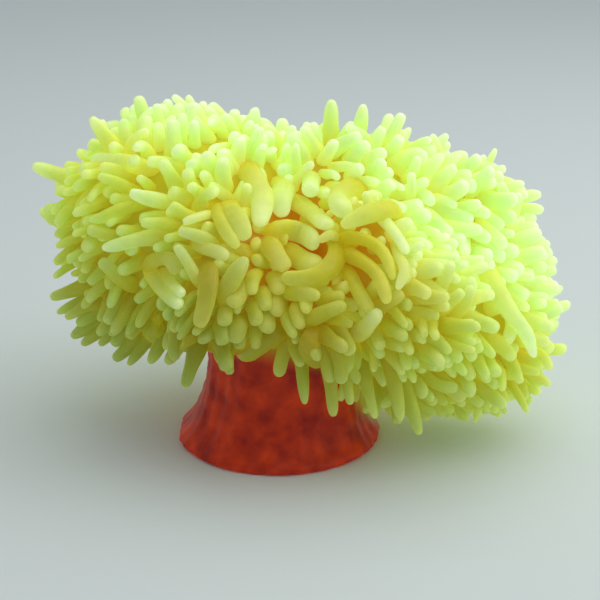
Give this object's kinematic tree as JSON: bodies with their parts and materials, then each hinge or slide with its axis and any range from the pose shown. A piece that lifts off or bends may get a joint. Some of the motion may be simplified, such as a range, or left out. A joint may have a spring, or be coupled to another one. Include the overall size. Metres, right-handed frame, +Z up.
{
  "type": "sea anemone",
  "caption": "Still life-size sea anemone: a folded crown of short finger tentacles round a puckered mouth, on a smooth red column with a flat pedal disc.",
  "frame": {"origin": "on the flat underside of the pedal disc, 2 mm to the right of the disc's middle and 1 mm behind it", "axes": "+Z up, +X to the right as seen from the side that the mouth leans to, -Y towards that side"},
  "size_m": [0.1513, 0.1065, 0.0969],
  "materials": {
    "tentacle_flesh": "soft wet flesh, yellow-green with pale tips and golden roots",
    "mouth_flesh": "soft wet flesh, golden orange",
    "column_flesh": "smooth wet flesh, deep orange red"
  },
  "bodies": {
    "root": {"pedal_disc": "column_flesh", "column": "column_flesh", "mouth": "mouth_flesh", "fold_front": "tentacle_flesh", "fold_front_right": "tentacle_flesh", "fold_right": "tentacle_flesh", "fold_back_right": "tentacle_flesh", "fold_back_left": "tentacle_flesh", "fold_left": "tentacle_flesh", "fold_front_left": "tentacle_flesh"}
  },
  "joints": []
}
